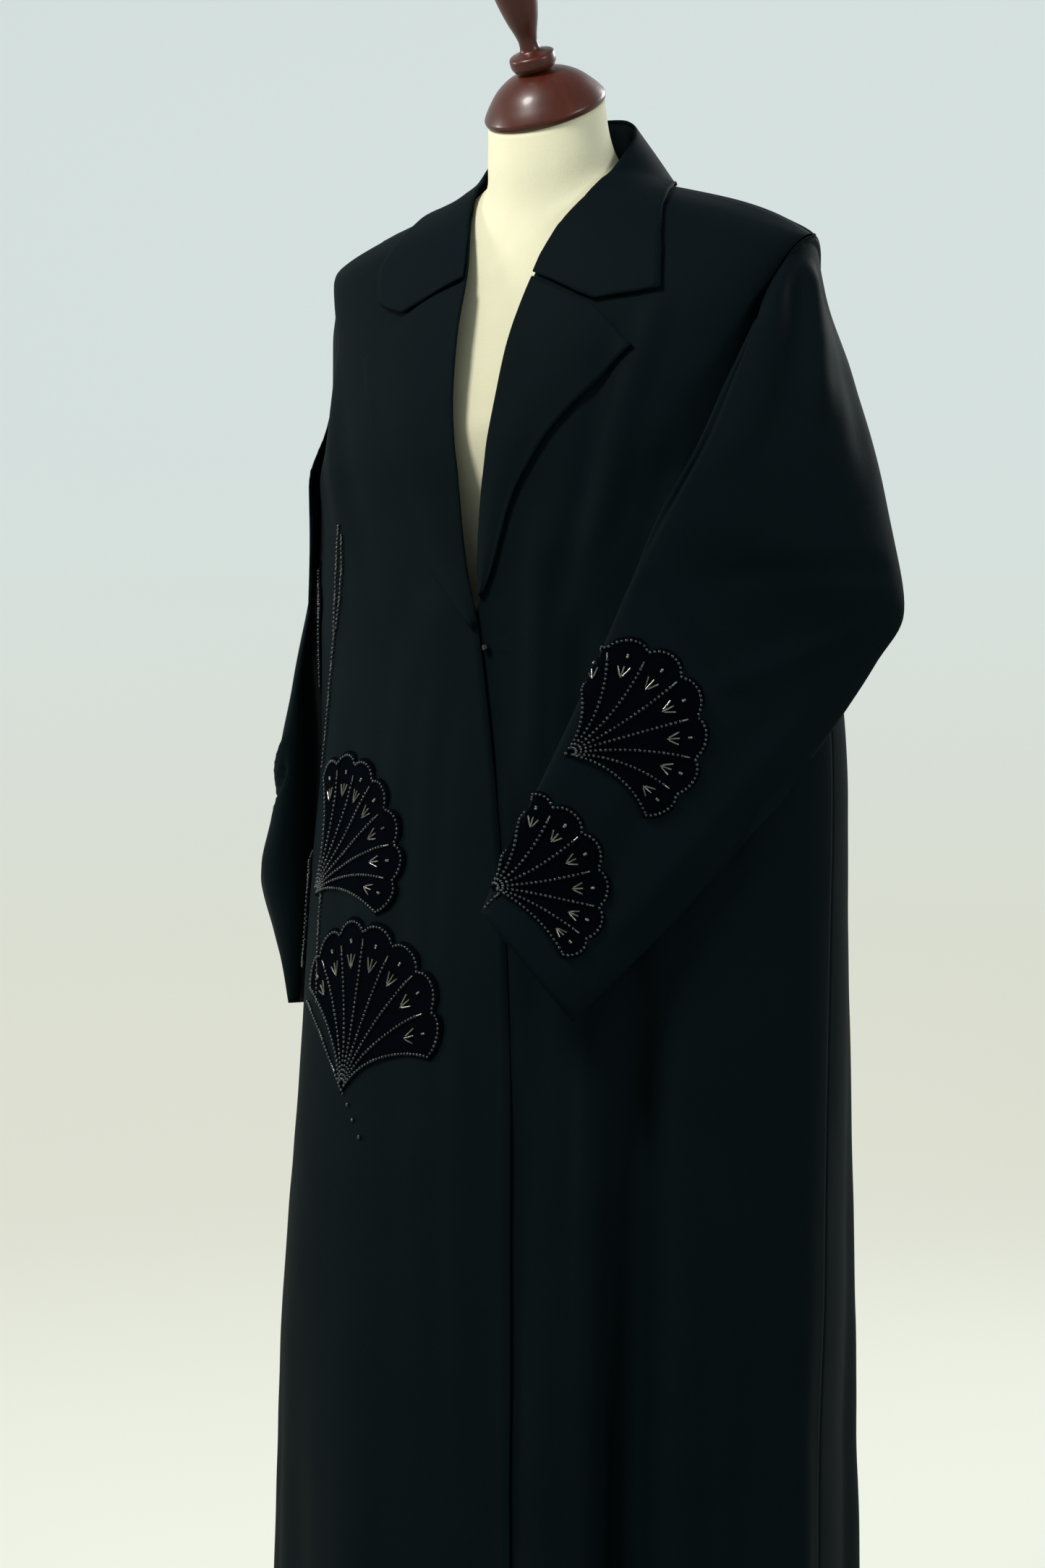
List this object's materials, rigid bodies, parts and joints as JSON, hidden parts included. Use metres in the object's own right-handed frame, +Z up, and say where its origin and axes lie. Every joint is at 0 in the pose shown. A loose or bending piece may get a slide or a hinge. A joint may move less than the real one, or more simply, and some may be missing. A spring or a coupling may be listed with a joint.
{
  "type": "abaya cloak on dress form",
  "caption": "Long open-front cloak in black crepe with a notched collar, wide sleeves and beaded velvet leaves, worn on a limbless dress form with a turned wooden neck cap and stand.",
  "frame": {"origin": "on the floor, at the centre of the stand's round base, under the form's axis", "axes": "+Z up, +X towards the garment's own left, -Y towards its front"},
  "size_m": [0.6249, 0.4509, 1.6467],
  "materials": {
    "crepe": "matte crepe, black with a slight teal tint",
    "velvet": "deep black velvet",
    "jersey": "matte cream jersey stretched over the form",
    "mahogany": "turned, reddish brown, varnished",
    "black_glass": "opaque black glass bead, polished"
  },
  "bodies": {
    "root": {"back": "crepe", "left_front": "crepe", "right_front": "crepe", "left_sleeve": "crepe", "right_sleeve": "crepe", "left_lapel": "crepe", "right_lapel": "crepe", "collar_fall": "crepe", "collar_stand": "crepe", "leaf_front_low": "velvet", "leaf_front_middle": "velvet", "leaf_front_side": "velvet", "leaf_front_top": "velvet", "leaf_sleeve_low": "velvet", "leaf_sleeve_upper": "velvet", "leaf_sleeve_fold": "velvet", "button": "black_glass", "form_torso": "jersey", "neck_cap": "mahogany", "finial": "mahogany", "stand_pole": "mahogany", "stand_base": "mahogany"}
  },
  "joints": []
}
